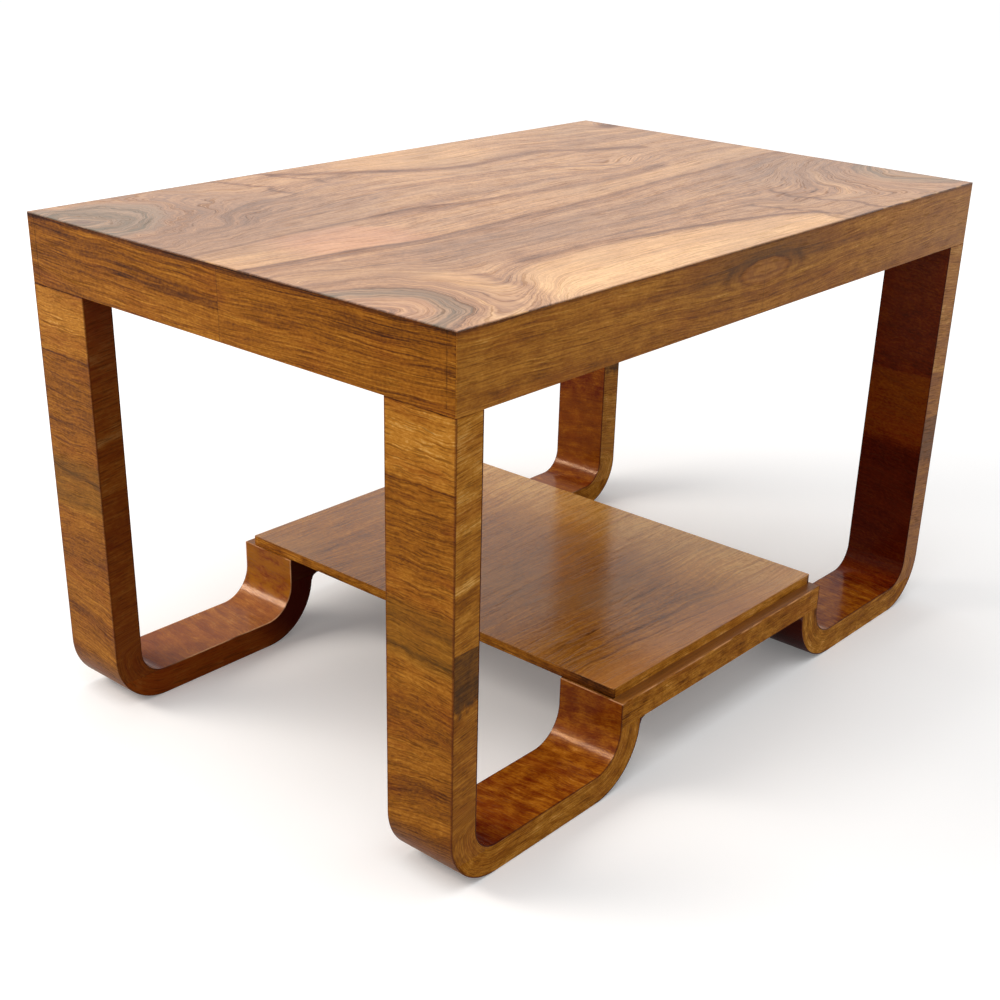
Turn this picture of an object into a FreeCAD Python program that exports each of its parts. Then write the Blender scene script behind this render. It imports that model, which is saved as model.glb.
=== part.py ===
import FreeCAD, Part
import math
import os
import re
import Sketcher

# Two-tier occasional table: a veneered box top on four flat legs.
# Each leg bends into a foot, which rises again to carry the shelf.
# X runs along the length, Y along the depth with the front at minus Y, and Z up.
# The origin is on the floor under the middle.

# Driving dimensions, in millimetres.
SIZES = {
    "length": 800,
    "depth": 520,
    "height": 484,
    "veneer": 1,
    "panel_thick": 18,
    "apron_height": 64,
    "apron_thick": 22,
    "corner_strip": 9,
    "leg_width": 73,
    "leg_thick": 30,
    "leg_bend_outer": 55,
    "leg_bend_inner": 27,
    "foot_thick": 28.5,
    "sole": 0.5,
    "riser_reach": 173,
    "riser_thick": 30,
    "riser_bend_outer": 63,
    "riser_bend_inner": 35,
    "riser_straight": 1.5,
    "bend_lug": 5,
    "rail_deep": 26,
    "cove_radius": 6,
    "cove_quirk": 0.6,
    "shelf_thick": 10.5,
    "shelf_set_back": 13,
    "shelf_end_step": 2.5,
    "lipping": 3,
    "block_side": 30,
    "block_height": 34,
    "tenon_thick": 8,
    "tenon_reach": 18,
    "tenon_gap": 0.1,
    "tenon_end_gap": 1,
    "apron_tenon_wide": 28,
    "frame_tenon_wide": 45,
    "screw_radius": 2,
    "screw_head_radius": 4,
    "screw_head_deep": 2.5,
    "screw_gap": 0.1,
    "shelf_screw_pitch": 170,
    "shelf_screw_bite": 6,
}

# Places that several pieces share, worked out from the driving dimensions.
APRON_FOOT = "(height - apron_height)"
PANEL_FOOT = "(height - veneer - panel_thick)"
APRON_MIDDLE = f"({APRON_FOOT} + {PANEL_FOOT}) / 2"
HALF_LENGTH = "length / 2"
HALF_DEPTH = "depth / 2"
LEG_INNER = "(length / 2 - leg_thick)"
LEG_BEND_TOP = "(max(leg_bend_outer + sole; foot_thick + leg_bend_inner) + bend_lug)"
LEG_BEND_END = "(length / 2 - max(leg_bend_outer; leg_thick + leg_bend_inner) - bend_lug)"
RISER_BACK = "(riser_reach - riser_thick)"
RISER_BEND_END = f"(max(riser_reach + riser_bend_inner; {RISER_BACK} + riser_bend_outer) + bend_lug)"
RAIL_FOOT = "(max(riser_bend_outer + sole; foot_thick + riser_bend_inner) + riser_straight)"
RAIL_TOP = f"({RAIL_FOOT} + rail_deep)"
SHELF_TOP = f"({RAIL_TOP} + shelf_thick)"
SHELF_HALF_LENGTH = "riser_reach - shelf_end_step"
SHELF_HALF_DEPTH = "depth / 2 - shelf_set_back"
FRAME_MIDDLE = "(depth / 2 - leg_width / 2)"
CORE_Y = ("depth / 2 - leg_width + veneer", "depth / 2 - veneer")
FRAME_Y = ("depth / 2 - leg_width", "depth / 2")
OUTER_SKIN_Y = ("depth / 2 - veneer", "depth / 2")
INNER_SKIN_Y = ("depth / 2 - leg_width", "depth / 2 - leg_width + veneer")

ENDS = {"left": -1, "right": 1}
FACES = {"front": -1, "back": 1}
SKETCH_NORMAL = FreeCAD.Vector(0, 0, 1)

doc = FreeCAD.newDocument("occasional_table")
nodes = []


def make_sheet():
    """Spreadsheet with one aliased cell for each driving dimension."""
    table = doc.addObject("Spreadsheet::Sheet", "Sizes")
    for row, (alias, value) in enumerate(SIZES.items(), start=1):
        table.set(f"A{row}", alias)
        table.set(f"B{row}", str(value))
        table.setAlias(f"B{row}", alias)
    doc.recompute()
    return table


sheet = make_sheet()


def cells(text):
    """The formula with each size's name turned into its cell's name."""
    return re.sub(r"[a-z_]+", lambda word: f"Sizes.{word[0]}" if word[0] in SIZES else word[0], text)


def bind(piece, place, text):
    piece.setExpression(place, cells(text))


def number(text):
    return float(sheet.evalExpression(cells(text)))


def turned(side, span):
    """A span from low to high, taken over to the other side of the middle where side is negative."""
    low, high = span
    if side > 0:
        return low, high
    return f"-({high})", f"-({low})"


def both_ways(half):
    return f"-({half})", half


def node(piece, label):
    """Gives a finished piece its node name and keeps it for writing."""
    piece.Label = label
    nodes.append(piece)
    return piece


def board(x_span, y_span, z_span):
    """Plain rectangular piece between bound faces."""
    box = doc.addObject("Part::Box", "board")
    spans = {"Length": ("x", x_span), "Width": ("y", y_span), "Height": ("z", z_span)}
    for size, (axis, (low, high)) in spans.items():
        bind(box, size, f"({high}) - ({low})")
        bind(box, f"Placement.Base.{axis}", low)
    return box


def group(pieces):
    """Several separate solids kept as one object."""
    bundle = doc.addObject("Part::Compound", "group")
    bundle.Links = pieces
    return bundle


def drilled(blank, tools):
    """The blank with all tools cut away."""
    cut = doc.addObject("Part::Cut", "drilled")
    cut.Base = blank
    cut.Tool = group(tools)
    return cut


def arc_centre(start, end, radius, turn):
    """Centre of the arc from start to end; turn is 1 for an arc that runs to the left, -1 to the right."""
    chord = end - start
    rise = math.sqrt(radius**2 - (chord.Length / 2) ** 2)
    across = FreeCAD.Vector(-chord.y, chord.x, 0).normalize()
    return (start + end) * 0.5 + across * (turn * rise)


def add_side(sketch, start, end, radius, turn):
    """Adds one side of an outline; returns its number and which of its ends are the start and the end."""
    if turn == 0:
        return sketch.addGeometry(Part.LineSegment(start, end)), 1, 2
    centre = arc_centre(start, end, radius, turn)
    first, last = (start, end) if turn > 0 else (end, start)
    angles = [math.atan2(point.y - centre.y, point.x - centre.x) for point in (first, last)]
    circle = Part.Circle(centre, SKETCH_NORMAL, radius)
    index = sketch.addGeometry(Part.ArcOfCircle(circle, *angles))
    return (index, 1, 2) if turn > 0 else (index, 2, 1)


def pin(sketch, kind, targets, text, name):
    """Adds a named dimension and binds it to its formula."""
    index = sketch.addConstraint(Sketcher.Constraint(kind, *targets, number(text)))
    sketch.renameConstraint(index, name)
    bind(sketch, f"Constraints.{name}", text)


def shaped(outline, side, y_span):
    """Piece cut to an outline in the XZ plane, mirrored where side is negative.

    A straight side follows a corner (x, z), and an arc follows a corner (x, z, radius, turn).
    """
    body = doc.addObject("PartDesign::Body", "shaped")
    sketch = body.newObject("Sketcher::SketchObject", "outline")
    plane = next(feature for feature in body.Origin.OriginFeatures if feature.Role == "XZ_Plane")
    sketch.AttachmentSupport = (plane, [""])
    sketch.MapMode = "FlatFace"

    corners = [(f"{side} * ({corner[0]})", corner[1]) for corner in outline]
    points = [FreeCAD.Vector(number(x), number(z), 0) for x, z in corners]
    arcs = [(corner[2], side * corner[3]) if len(corner) > 2 else ("0", 0) for corner in outline]
    sides = []
    for index, (radius, turn) in enumerate(arcs):
        end = points[(index + 1) % len(points)]
        sides.append(add_side(sketch, points[index], end, number(radius), turn))
    for index, (geometry, start, _) in enumerate(sides):
        before, _, before_end = sides[index - 1]
        sketch.addConstraint(Sketcher.Constraint("Coincident", before, before_end, geometry, start))
        x, z = corners[index]
        pin(sketch, "DistanceX", (-1, 1, geometry, start), x, f"across{index}")
        pin(sketch, "DistanceY", (-1, 1, geometry, start), z, f"up{index}")
        radius, turn = arcs[index]
        if turn:
            pin(sketch, "Radius", (geometry,), radius, f"radius{index}")

    low, high = y_span
    pad = body.newObject("PartDesign::Pad", "pad")
    pad.Profile = sketch
    bind(pad, "Length", f"({high}) - ({low})")
    bind(body, "Placement.Base.y", high)
    return body


# Outlines of the pieces that follow the bends, drawn for the right-hand end.

LEG_SKIN_INNER_RADIUS = "leg_bend_outer - veneer"
LEG_CORE_INNER_RADIUS = "leg_bend_inner + veneer"
RISER_SKIN_INNER_RADIUS = "riser_bend_outer - veneer"
RISER_CORE_INNER_RADIUS = "riser_bend_inner + veneer"
LEG_CORE_OUTER = "length / 2 - veneer"
LEG_CORE_INNER = f"{LEG_INNER} + veneer"
LEG_BEND_OUTER_X = "length / 2 - leg_bend_outer"
LEG_BEND_INNER_X = f"{LEG_INNER} - leg_bend_inner"
LEG_BEND_OUTER_Z = "leg_bend_outer + sole"
LEG_BEND_INNER_Z = "foot_thick + leg_bend_inner"
RISER_CORE_FRONT = "riser_reach - veneer"
RISER_CORE_BACK = f"{RISER_BACK} + veneer"
RISER_BEND_OUTER_X = f"{RISER_BACK} + riser_bend_outer"
RISER_BEND_INNER_X = "riser_reach + riser_bend_inner"
RISER_BEND_OUTER_Z = "riser_bend_outer + sole"
RISER_BEND_INNER_Z = "foot_thick + riser_bend_inner"
FOOT_CORE_TOP = "foot_thick - veneer"
# The bare sole of the foot stands a little proud of the veneers, which end above the floor.
SKIN_FOOT = "sole"
SKIN_FOOT_TOP = "sole + veneer"
# Leg edge and foot edge meet level with the top of the foot: here that joint crosses the bend's two curves.
EDGE_JOINT_OUTER = (f"{LEG_BEND_OUTER_X} + "
                    f"sqrt(({LEG_SKIN_INNER_RADIUS})^2 - ({LEG_BEND_OUTER_Z} - foot_thick)^2)")
EDGE_JOINT_INNER = f"{LEG_BEND_INNER_X} + sqrt(({LEG_CORE_INNER_RADIUS})^2 - leg_bend_inner^2)"
# The way an arc turns as the outline is followed.
LEFT, RIGHT = 1, -1

LEG_BEND = [
    (LEG_CORE_OUTER, LEG_BEND_TOP),
    (LEG_CORE_OUTER, LEG_BEND_OUTER_Z, LEG_SKIN_INNER_RADIUS, RIGHT),
    (LEG_BEND_OUTER_X, SKIN_FOOT_TOP),
    (LEG_BEND_OUTER_X, "0"),
    (LEG_BEND_END, "0"),
    (LEG_BEND_END, FOOT_CORE_TOP),
    (LEG_BEND_INNER_X, FOOT_CORE_TOP, LEG_CORE_INNER_RADIUS, LEFT),
    (LEG_CORE_INNER, LEG_BEND_INNER_Z),
    (LEG_CORE_INNER, LEG_BEND_TOP),
]
RISER_BEND = [
    (RISER_CORE_BACK, RAIL_FOOT),
    (RISER_CORE_BACK, RISER_BEND_OUTER_Z, RISER_SKIN_INNER_RADIUS, LEFT),
    (RISER_BEND_OUTER_X, SKIN_FOOT_TOP),
    (RISER_BEND_OUTER_X, "0"),
    (RISER_BEND_END, "0"),
    (RISER_BEND_END, FOOT_CORE_TOP),
    (RISER_BEND_INNER_X, FOOT_CORE_TOP, RISER_CORE_INNER_RADIUS, RIGHT),
    (RISER_CORE_FRONT, RISER_BEND_INNER_Z),
    (RISER_CORE_FRONT, RAIL_FOOT),
]
LEG_OUTER_VENEER = [
    (HALF_LENGTH, APRON_FOOT),
    (HALF_LENGTH, LEG_BEND_OUTER_Z, "leg_bend_outer", RIGHT),
    (LEG_BEND_OUTER_X, SKIN_FOOT),
    (LEG_BEND_OUTER_X, SKIN_FOOT_TOP, LEG_SKIN_INNER_RADIUS, LEFT),
    (LEG_CORE_OUTER, LEG_BEND_OUTER_Z),
    (LEG_CORE_OUTER, APRON_FOOT),
]
INNER_VENEER = [
    (LEG_INNER, APRON_FOOT),
    (LEG_INNER, LEG_BEND_INNER_Z, "leg_bend_inner", RIGHT),
    (LEG_BEND_INNER_X, "foot_thick"),
    (RISER_BEND_INNER_X, "foot_thick", "riser_bend_inner", RIGHT),
    ("riser_reach", RISER_BEND_INNER_Z),
    ("riser_reach", RAIL_TOP),
    (RISER_CORE_FRONT, RAIL_TOP),
    (RISER_CORE_FRONT, RISER_BEND_INNER_Z, RISER_CORE_INNER_RADIUS, LEFT),
    (RISER_BEND_INNER_X, FOOT_CORE_TOP),
    (LEG_BEND_INNER_X, FOOT_CORE_TOP, LEG_CORE_INNER_RADIUS, LEFT),
    (LEG_CORE_INNER, LEG_BEND_INNER_Z),
    (LEG_CORE_INNER, APRON_FOOT),
]
RISER_VENEER = [
    (RISER_BACK, RAIL_FOOT),
    (RISER_BACK, RISER_BEND_OUTER_Z, "riser_bend_outer", LEFT),
    (RISER_BEND_OUTER_X, SKIN_FOOT),
    (RISER_BEND_OUTER_X, SKIN_FOOT_TOP, RISER_SKIN_INNER_RADIUS, RIGHT),
    (RISER_CORE_BACK, RISER_BEND_OUTER_Z),
    (RISER_CORE_BACK, RAIL_FOOT),
]
LEG_EDGE = [
    (LEG_CORE_OUTER, APRON_FOOT),
    (LEG_CORE_OUTER, LEG_BEND_OUTER_Z, LEG_SKIN_INNER_RADIUS, RIGHT),
    (EDGE_JOINT_OUTER, "foot_thick"),
    (EDGE_JOINT_INNER, "foot_thick", LEG_CORE_INNER_RADIUS, LEFT),
    (LEG_CORE_INNER, LEG_BEND_INNER_Z),
    (LEG_CORE_INNER, APRON_FOOT),
]
FOOT_EDGE = [
    (EDGE_JOINT_OUTER, "foot_thick", LEG_SKIN_INNER_RADIUS, RIGHT),
    (LEG_BEND_OUTER_X, SKIN_FOOT_TOP),
    (LEG_BEND_OUTER_X, SKIN_FOOT),
    (RISER_BEND_OUTER_X, SKIN_FOOT),
    (RISER_BEND_OUTER_X, SKIN_FOOT_TOP, RISER_SKIN_INNER_RADIUS, RIGHT),
    (RISER_CORE_BACK, RISER_BEND_OUTER_Z),
    (RISER_CORE_BACK, RAIL_FOOT),
    (RISER_CORE_FRONT, RAIL_FOOT),
    (RISER_CORE_FRONT, RISER_BEND_INNER_Z, RISER_CORE_INNER_RADIUS, LEFT),
    (RISER_BEND_INNER_X, FOOT_CORE_TOP),
    (LEG_BEND_INNER_X, FOOT_CORE_TOP, LEG_CORE_INNER_RADIUS, LEFT),
    (EDGE_JOINT_INNER, "foot_thick"),
]
COVE = [
    (RISER_BACK, RAIL_FOOT),
    (f"{RISER_BACK} - cove_radius - cove_quirk", RAIL_FOOT),
    (f"{RISER_BACK} - cove_radius - cove_quirk", f"{RAIL_FOOT} - cove_quirk", "cove_radius", RIGHT),
    (f"{RISER_BACK} - cove_quirk", f"{RAIL_FOOT} - cove_quirk - cove_radius"),
    (RISER_BACK, f"{RAIL_FOOT} - cove_quirk - cove_radius"),
]


# Loose tenons and screws. Each comes with the hole that both of its pieces get.

tenons = []


def tenon_block(axis, point, halves, side_gap, end_gap):
    """Block centred on the point, with half its size along x, y and z and room at its sides and ends."""
    gaps = [end_gap if letter == axis else side_gap for letter in "xyz"]
    reaches = [f"({half} + {gap})" for half, gap in zip(halves, gaps)]
    return board(*((f"{place} - {reach}", f"{place} + {reach}") for place, reach in zip(point, reaches)))


def tenon_slot(axis, point, halves):
    """Adds one loose tenon across a joint and returns the slot for the pieces on both sides."""
    tenons.append(tenon_block(axis, point, halves, "0", "0"))
    return tenon_block(axis, point, halves, "tenon_gap", "tenon_end_gap")


def screw_shape(x, y, foot, tip, gap):
    """Upright countersunk screw with its head's face at the foot."""
    head = doc.addObject("Part::Cone", "screw_head")
    bind(head, "Radius1", f"screw_head_radius + {gap}")
    bind(head, "Radius2", f"screw_radius + {gap}")
    bind(head, "Height", "screw_head_deep")
    shank = doc.addObject("Part::Cylinder", "screw_shank")
    bind(shank, "Radius", f"screw_radius + {gap}")
    bind(shank, "Height", f"({tip}) - ({foot}) + {gap}")
    for piece in (head, shank):
        for letter, place in zip("xyz", (x, y, foot)):
            bind(piece, f"Placement.Base.{letter}", place)
    whole = doc.addObject("Part::Fuse", "screw")
    whole.Base = head
    whole.Tool = shank
    return whole


def make_end_frame_joints(end, face):
    """Tenon slots of one leg, by the joint they cross."""
    x_side = ENDS[end]
    y_side = FACES[face]
    long_y = f"{y_side} * (depth / 2 - veneer - apron_thick / 2)"
    end_x = f"{x_side} * (length / 2 - veneer - apron_thick / 2)"
    inner_x = f"{x_side} * ({LEG_CORE_INNER})"
    inner_y = f"{y_side} * (depth / 2 - leg_width + veneer)"
    frame_y = f"{y_side} * {FRAME_MIDDLE}"
    leg_x = f"{x_side} * (length / 2 - leg_thick / 2)"
    riser_x = f"{x_side} * (riser_reach - riser_thick / 2)"
    foot_z = "(foot_thick - veneer) / 2"
    reach, thick = "tenon_reach", "tenon_thick / 2"
    high, wide = "apron_tenon_wide / 2", "frame_tenon_wide / 2"
    flat, upright = (reach, wide, thick), (thick, wide, reach)
    return {
        "long_apron": tenon_slot("x", (inner_x, long_y, APRON_MIDDLE), (reach, thick, high)),
        "end_apron": tenon_slot("y", (end_x, inner_y, APRON_MIDDLE), (thick, reach, high)),
        "leg": tenon_slot("z", (leg_x, frame_y, LEG_BEND_TOP), upright),
        "leg_bend": tenon_slot("x", (f"{x_side} * {LEG_BEND_END}", frame_y, foot_z), flat),
        "riser_bend": tenon_slot("x", (f"{x_side} * {RISER_BEND_END}", frame_y, foot_z), flat),
        "rail": tenon_slot("z", (riser_x, frame_y, RAIL_FOOT), upright),
    }


def make_leg(end, face, slots):
    """Cores and veneers of one leg with its foot and riser."""
    x_side = ENDS[end]
    y_side = FACES[face]
    name = f"{face}_{end}"
    core_y = turned(y_side, CORE_Y)
    leg_x = turned(x_side, (LEG_CORE_INNER, LEG_CORE_OUTER))
    leg = board(leg_x, core_y, (LEG_BEND_TOP, PANEL_FOOT))
    node(drilled(leg, [slots["long_apron"], slots["end_apron"], slots["leg"]]), f"{name}_leg")
    leg_bend = shaped(LEG_BEND, x_side, core_y)
    node(drilled(leg_bend, [slots["leg"], slots["leg_bend"]]), f"{name}_leg_bend")
    foot = board(turned(x_side, (RISER_BEND_END, LEG_BEND_END)), core_y, ("0", FOOT_CORE_TOP))
    node(drilled(foot, [slots["leg_bend"], slots["riser_bend"]]), f"{name}_foot")
    riser_bend = shaped(RISER_BEND, x_side, core_y)
    node(drilled(riser_bend, [slots["riser_bend"], slots["rail"]]), f"{name}_riser_bend")

    frame_y = turned(y_side, FRAME_Y)
    node(shaped(LEG_OUTER_VENEER, x_side, frame_y), f"{name}_leg_outer_veneer")
    node(shaped(INNER_VENEER, x_side, frame_y), f"{name}_inner_veneer")
    skins = [turned(y_side, OUTER_SKIN_Y), turned(y_side, INNER_SKIN_Y)]
    node(group([shaped(LEG_EDGE, x_side, skin) for skin in skins]), f"{name}_leg_edge_veneer")
    node(group([shaped(FOOT_EDGE, x_side, skin) for skin in skins]), f"{name}_foot_edge_veneer")


def make_rail(face, slots, screw_holes):
    """Rail on top of two risers, which carries the shelf."""
    y_side = FACES[face]
    x_span = both_ways(RISER_CORE_FRONT)
    z_span = (RAIL_FOOT, RAIL_TOP)
    rail = board(x_span, turned(y_side, CORE_Y), z_span)
    node(drilled(rail, slots + screw_holes), f"{face}_shelf_rail")
    skins = [board(x_span, turned(y_side, skin), z_span) for skin in (OUTER_SKIN_Y, INNER_SKIN_Y)]
    node(group(skins), f"{face}_rail_edge_veneer")


def make_riser_trim():
    """Veneers behind the riser bends, and the coves under the rails."""
    corners = [(x_side, turned(y_side, FRAME_Y)) for y_side in FACES.values() for x_side in ENDS.values()]
    node(group([shaped(RISER_VENEER, x_side, frame_y) for x_side, frame_y in corners]), "riser_veneers")
    node(group([shaped(COVE, x_side, frame_y) for x_side, frame_y in corners]), "rail_coves")


def make_aprons(joints):
    """Four apron boards between the legs, with their veneers and the strips at the corners."""
    z_span = (APRON_FOOT, PANEL_FOOT)
    skin_z = (APRON_FOOT, "height - veneer")
    core_edge = ("- veneer - apron_thick", "- veneer")
    long_y = tuple(f"depth / 2 {edge}" for edge in core_edge)
    end_x = tuple(f"length / 2 {edge}" for edge in core_edge)
    skin_x = ("length / 2 - veneer", "length / 2")
    strip_y = ("depth / 2 - veneer - corner_strip", "depth / 2 - veneer")
    strips = []
    for face, y_side in FACES.items():
        apron = board(both_ways(LEG_CORE_INNER), turned(y_side, long_y), z_span)
        slots = [joints[end, face]["long_apron"] for end in ENDS]
        node(drilled(apron, slots), f"{face}_apron")
        face_y = turned(y_side, OUTER_SKIN_Y)
        leaves = [board(turned(x_side, ("0", HALF_LENGTH)), face_y, skin_z) for x_side in ENDS.values()]
        node(group(leaves), f"{face}_apron_veneer")
    for end, x_side in ENDS.items():
        apron = board(turned(x_side, end_x), both_ways("depth / 2 - leg_width + veneer"), z_span)
        slots = [joints[end, face]["end_apron"] for face in FACES]
        node(drilled(apron, slots), f"{end}_apron")
        face_x = turned(x_side, skin_x)
        leaf_y = ("0", strip_y[0])
        leaves = [board(face_x, turned(y_side, leaf_y), skin_z) for y_side in FACES.values()]
        node(group(leaves), f"{end}_apron_veneer")
        strips += [board(face_x, turned(y_side, strip_y), skin_z) for y_side in FACES.values()]
    node(group(strips), "corner_strips")


def make_top():
    """Top panel with its veneer, held by blocks glued between it and the aprons beside each leg."""
    block_x = (f"{LEG_CORE_INNER} - block_side", LEG_CORE_INNER)
    block_y = ("depth / 2 - veneer - apron_thick - block_side", "depth / 2 - veneer - apron_thick")
    block_z = (f"{PANEL_FOOT} - block_height", PANEL_FOOT)
    for face, y_side in FACES.items():
        for end, x_side in ENDS.items():
            block = board(turned(x_side, block_x), turned(y_side, block_y), block_z)
            node(block, f"{face}_{end}_glue_block")
    core_x = both_ways("length / 2 - veneer")
    core_y = both_ways("depth / 2 - veneer")
    node(board(core_x, core_y, (PANEL_FOOT, "height - veneer")), "top_panel")
    node(board(both_ways(HALF_LENGTH), both_ways(HALF_DEPTH), ("height - veneer", "height")), "top_veneer")


def make_shelf(screw_holes):
    """Thin lipped shelf with a veneered top."""
    core_z = (RAIL_TOP, f"{SHELF_TOP} - veneer")
    panel_x = both_ways(f"{SHELF_HALF_LENGTH} - lipping")
    panel_y = both_ways(f"{SHELF_HALF_DEPTH} - lipping")
    shelf_x = both_ways(SHELF_HALF_LENGTH)
    shelf_y = both_ways(SHELF_HALF_DEPTH)
    lip_x = (f"{SHELF_HALF_LENGTH} - lipping", SHELF_HALF_LENGTH)
    lip_y = (f"{SHELF_HALF_DEPTH} - lipping", SHELF_HALF_DEPTH)
    node(drilled(board(panel_x, panel_y, core_z), screw_holes), "shelf_panel")
    lippings = [board(shelf_x, turned(y_side, lip_y), core_z) for y_side in FACES.values()]
    lippings += [board(turned(x_side, lip_x), panel_y, core_z) for x_side in ENDS.values()]
    node(group(lippings), "shelf_lippings")
    node(board(shelf_x, shelf_y, (f"{SHELF_TOP} - veneer", SHELF_TOP)), "shelf_veneer")


def make_shelf_screws():
    """Two screws up through each rail; returns their holes by rail."""
    tip = f"{RAIL_TOP} + shelf_screw_bite"
    screws = []
    holes = {}
    for face, y_side in FACES.items():
        y = f"{y_side} * {FRAME_MIDDLE}"
        places = [(f"{x_side} * shelf_screw_pitch / 2", y, RAIL_FOOT, tip) for x_side in ENDS.values()]
        screws += [screw_shape(*place, "0") for place in places]
        holes[face] = [screw_shape(*place, "screw_gap") for place in places]
    node(group(screws), "shelf_screws")
    return holes


def check_document():
    """Stops the build at the first object that failed or has no valid shape."""
    for item in doc.Objects:
        if "Invalid" in item.State or "Error" in item.State:
            raise RuntimeError(f"{item.Label} failed: {item.State}")
    for piece in nodes:
        if piece.Shape.isNull() or not piece.Shape.isValid():
            raise RuntimeError(f"{piece.Label} has no valid shape")


def main():
    joints = {(end, face): make_end_frame_joints(end, face) for face in FACES for end in ENDS}
    for (end, face), slots in joints.items():
        make_leg(end, face, slots)
    screw_holes = make_shelf_screws()
    for face in FACES:
        make_rail(face, [joints[end, face]["rail"] for end in ENDS], screw_holes[face])
    make_riser_trim()
    make_aprons(joints)
    make_top()
    make_shelf(screw_holes["front"] + screw_holes["back"])
    node(group(tenons), "tenons")
    doc.recompute()
    check_document()
    os.makedirs("parts", exist_ok=True)
    for piece in nodes:
        piece.Shape.exportStep(f"parts/{piece.Label}.step")


main()
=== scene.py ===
import math

import bpy
from mathutils import Matrix, Vector


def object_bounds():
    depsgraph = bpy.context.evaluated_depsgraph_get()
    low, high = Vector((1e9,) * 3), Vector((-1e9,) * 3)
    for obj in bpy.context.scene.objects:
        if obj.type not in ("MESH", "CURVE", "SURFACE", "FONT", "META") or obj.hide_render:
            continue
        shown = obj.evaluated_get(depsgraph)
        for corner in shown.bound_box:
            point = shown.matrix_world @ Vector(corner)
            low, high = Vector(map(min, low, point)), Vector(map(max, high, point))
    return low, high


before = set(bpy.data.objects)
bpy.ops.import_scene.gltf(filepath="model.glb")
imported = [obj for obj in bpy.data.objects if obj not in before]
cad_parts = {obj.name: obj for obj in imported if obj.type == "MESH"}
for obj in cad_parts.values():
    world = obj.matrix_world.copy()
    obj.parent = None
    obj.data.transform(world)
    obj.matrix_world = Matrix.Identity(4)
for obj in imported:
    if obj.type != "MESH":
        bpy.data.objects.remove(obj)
cad_low, cad_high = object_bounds()

# Two-tier occasional table in figured walnut veneer.
# The materials work in millimetres, in the table's own frame: x along it, y to the back, z up.

MILLIMETRES = 1000

# Sizes of the table that the veneers follow.
HALF_LENGTH = 400
HALF_DEPTH = 260
HEIGHT = 484
APRON_FOOT = 420
STRIP_EDGE = 250.5
LEG_INSIDE = 187
LEG_MIDDLE = 223
LEG_JOINT = 227
SKIN_INSIDE = 200
FOOT_TOP = 28.5
FOOT_MIDDLE = 270
RISER_FRONT = 173
RAIL_TOP = 91
LIPPING_INSIDE = 167.5

# Bends of the inner skin: place along the table, height and radius.
LEG_FOLD = (343, 55.5, 27)
RISER_FOLD = (208, 63.5, 35)

# Softened edges: width and welding distance in metres, and the least angle of a sharp edge.
EDGE_WIDTH = 0.0003
WELD_DISTANCE = 0.00001
SHARP_ANGLE = math.radians(40)
SOFTENED_PIECES = ("shelf_lippings", "corner_strips", "rail_coves")

# Palettes from dark to light, in screen colours at even steps.
WALNUT = ((41, 17, 4), (102, 54, 12), (156, 94, 22), (196, 131, 46), (236, 182, 101))
TOP_WALNUT = ((58, 40, 32), (116, 82, 62), (174, 128, 95), (209, 163, 121), (242, 200, 150))
RED_WALNUT = ((42, 5, 1), (98, 27, 3), (130, 63, 9), (168, 98, 20), (204, 140, 60))
BROWN_BEECH = ((50, 25, 8), (138, 84, 30), (196, 136, 66))
# Dark beech for the risers' inner faces and the rail coves: stained beech, darkened further with
# painted shade.
SHADED_DARK_BEECH = ((24, 3, 2), (64, 16, 8), (102, 36, 14))
BEECH = ((142, 98, 62), (190, 144, 98), (216, 176, 132))
PINE = ((140, 92, 44), (196, 150, 88), (224, 188, 130))
STEEL = ((74, 64, 54), (150, 144, 136), (188, 184, 178))

# Stains of every veneer, in screen colours; the worn colour is wear and a painted glint on the
# arrises.
PORE = (58, 28, 9)
SEAM = (46, 22, 9)
WORN_AND_GLINT = (236, 176, 126)

# Stains of the top.
SAP = (244, 190, 130)
PINK_SAP = (228, 160, 132)
LINE_BROWN = (150, 98, 62)
CLOUD_GREY = (146, 118, 100)
EYE_PINK = (200, 150, 122)
EYE_GREY = (178, 152, 126)
GREY_GREEN = (84, 77, 60)
TOP_WORN = (226, 176, 120)

# Stains of the aprons and the shelf; the long aprons' pale right end is partly a painted sheen.
SMOKE = (104, 76, 42)
EYE_BROWN = (160, 106, 66)
APRON_PALENESS_AND_SHEEN = (176, 126, 92)
SHELF_GOLD = (166, 118, 60)
SHELF_PINK = (184, 120, 78)

# Stains of the legs, feet and rails, with painted shade, sheen and reflection among them.
LEG_GREEN = (128, 96, 30)
LEG_ARRIS = (88, 34, 10)
INNER_GOLD = (166, 101, 6)
INNER_OLIVE = (146, 84, 8)
INNER_SHADE_AND_REFLECTION = (52, 4, 2)
INNER_PAINTED_VEIL = (180, 120, 84)
INNER_ARRIS = (56, 16, 5)
PATCH_BROWN = (74, 56, 30)
EDGE_RED_SHADE = (100, 31, 4)
EDGE_PAINTED_SHEEN = (164, 112, 80)
EDGE_ARRIS = (96, 34, 10)
FOOT_RED_SHADE = (126, 50, 12)
FOOT_BLACK_SHADE = (56, 2, 5)
RAIL_BLACK_SHADE = (58, 2, 6)

# Look of a plain veneer; each veneer changes some of it.
# Lengths and widths of the grain's parts are in millimetres.
# Their strengths are shares of the way from the dark to the light end of the palette.
WHITE = (1, 1, 1, 1)
PLAIN_LOOK = {
    "palette": WALNUT,
    "dullness": 0.38,
    "shine": 0.06,
    "lacquer": (1, 0.85, 0.65, 1),
    "haze": 0,
    "depth": 0.05,
    "band": 24,
    "bands": 0.14,
    "streak": 2,
    "reach": 80,
    "streaks": 0.2,
    "hair": 30,
    "hairs": 0.24,
    "flecks": 0.16,
    "mottles": 0.08,
    "vein": 8,
    "veins": 0.2,
    "pore": 18,
    "pores": 0.4,
    "blush": (150, 66, 20),
    "blushes": 0.15,
}

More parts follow.
